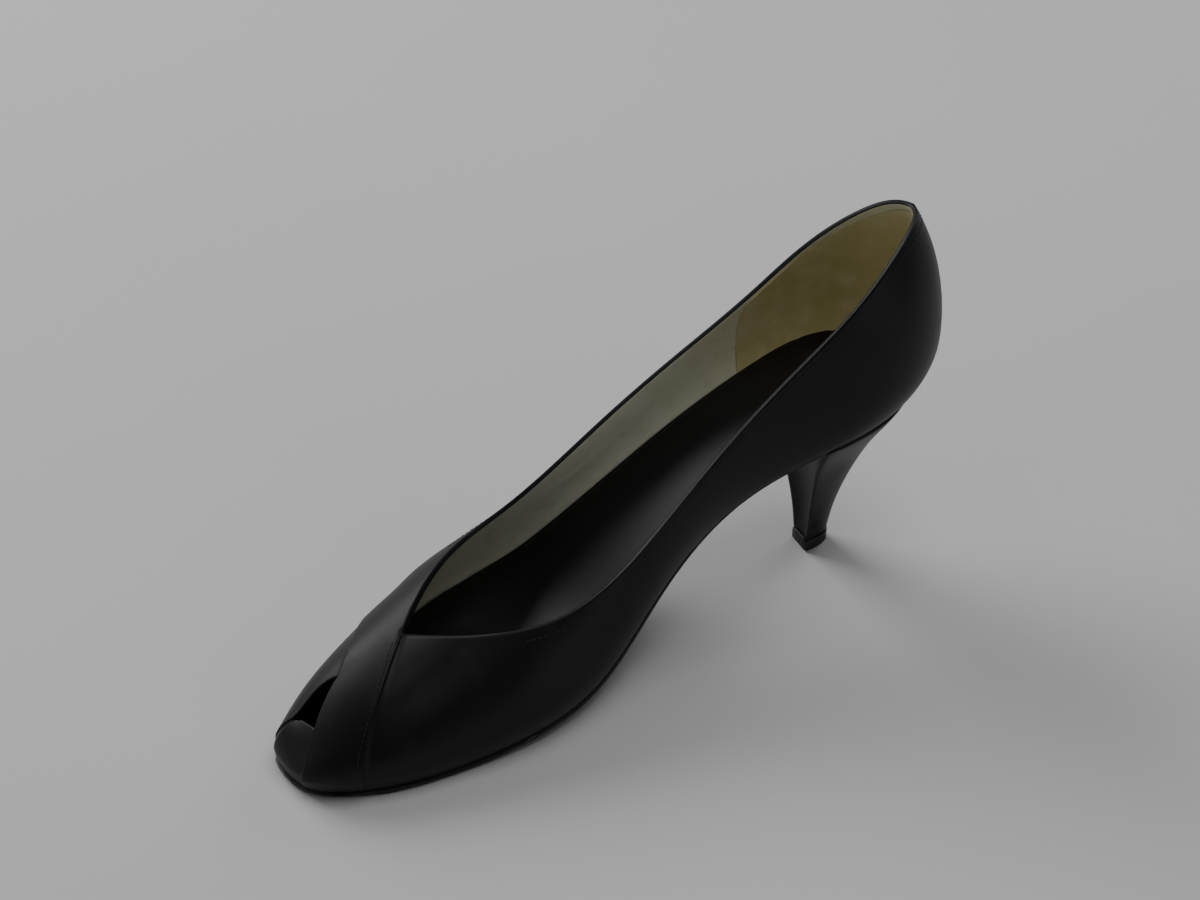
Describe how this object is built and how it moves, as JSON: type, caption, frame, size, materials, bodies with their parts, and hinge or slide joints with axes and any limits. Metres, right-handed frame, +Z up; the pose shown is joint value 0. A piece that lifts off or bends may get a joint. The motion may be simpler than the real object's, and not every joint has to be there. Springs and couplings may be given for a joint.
{
  "type": "peep toe pump",
  "caption": "Black leather pump with a small peep opening at the toe, a vamp crossed by an outer band, a low V throat and a slender covered heel.",
  "frame": {"origin": "middle of the shoe's bounding box in plan, on the floor plane", "axes": "+X from the toe to the heel along the shoe's length, +Y to the outer side of the foot, +Z up"},
  "size_m": [0.2346, 0.072, 0.1307],
  "materials": {
    "black_calf": "smooth satin calf",
    "black_sock": "smooth sock leather",
    "sole_leather": "blackened sole leather, lightly scuffed",
    "top_piece_rubber": "hard moulded rubber"
  },
  "bodies": {
    "root": {"upper": "black_calf", "insole": "black_sock", "outsole": "sole_leather", "heel": "black_calf", "top_piece": "top_piece_rubber"}
  },
  "joints": []
}
